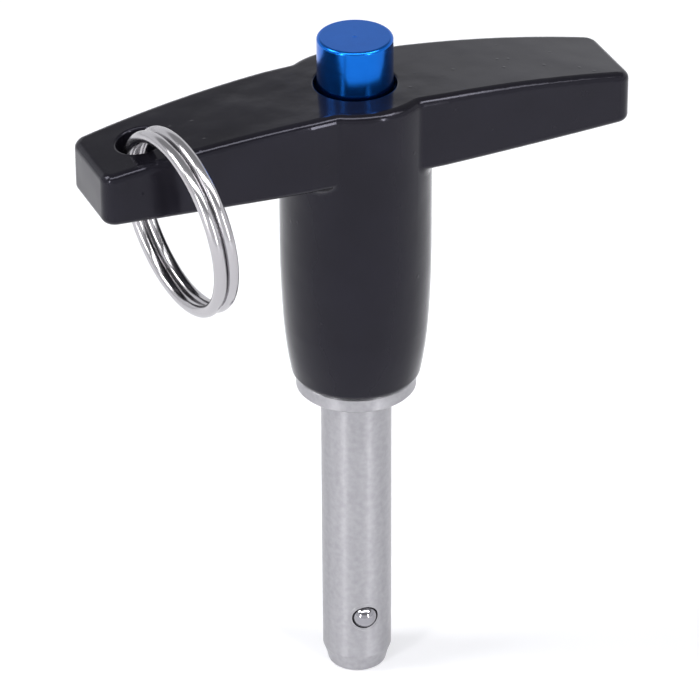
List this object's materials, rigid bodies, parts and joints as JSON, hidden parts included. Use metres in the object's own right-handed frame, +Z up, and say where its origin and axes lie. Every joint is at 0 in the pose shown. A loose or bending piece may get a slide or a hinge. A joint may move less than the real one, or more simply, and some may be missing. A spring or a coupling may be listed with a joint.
{
  "type": "ball lock pin",
  "caption": "Quick-release ball lock pin with a T grip, a push button in its top, a turned shank with locking balls, and a split key ring.",
  "frame": {"origin": "centre of the shank's flat tip face, where the pin stands", "axes": "+Z up the shank's axis to the button; the grip's arms run along X, with the key ring in the arm on the -X side, hanging to the -Y side"},
  "size_m": [0.0778, 0.0348, 0.1013],
  "materials": {
    "grip_coating": "glossy black powder coat on die-cast aluminium",
    "stainless": "fine turned stainless steel",
    "spindle_steel": "ground stainless steel",
    "blue_anodised": "blue anodised, turned",
    "spring_steel": "drawn spring wire",
    "ball_steel": "polished ball steel",
    "ring_wire": "nickel-plated, bright"
  },
  "bodies": {
    "grip": {"handle": "grip_coating", "shank": "stainless"},
    "plunger": {"button": "blue_anodised", "spindle": "spindle_steel", "return_spring": "spring_steel"},
    "front_ball": {"ball_front": "ball_steel"},
    "rear_ball": {"ball_rear": "ball_steel"},
    "ring": {"key_ring": "ring_wire"}
  },
  "joints": [
    {"name": "button_press", "type": "slide", "parent": "grip", "child": "plunger", "axis": [0, 0, -1], "range_m": [0, 0.005], "stiffness_N_per_m": 900, "springref_m": -0.009, "deforming": ["return_spring"]},
    {"name": "ball_front_drop", "type": "slide", "parent": "grip", "child": "front_ball", "axis": [0.1478, 0.989, 0], "range_m": [0, 0.00105]},
    {"name": "ball_rear_drop", "type": "slide", "parent": "grip", "child": "rear_ball", "axis": [-0.1478, -0.989, 0], "range_m": [0, 0.00105]},
    {"name": "ring_swivel", "type": "hinge", "parent": "grip", "child": "ring", "pos_m": [-0.0316, 0, 0.08737], "axis": [0, 0, 1], "range_deg": [-220, 40]}
  ],
  "couplings": [
    {"joint": "ball_front_drop", "follows": "button_press", "ratio": 0.21},
    {"joint": "ball_rear_drop", "follows": "button_press", "ratio": 0.21}
  ]
}
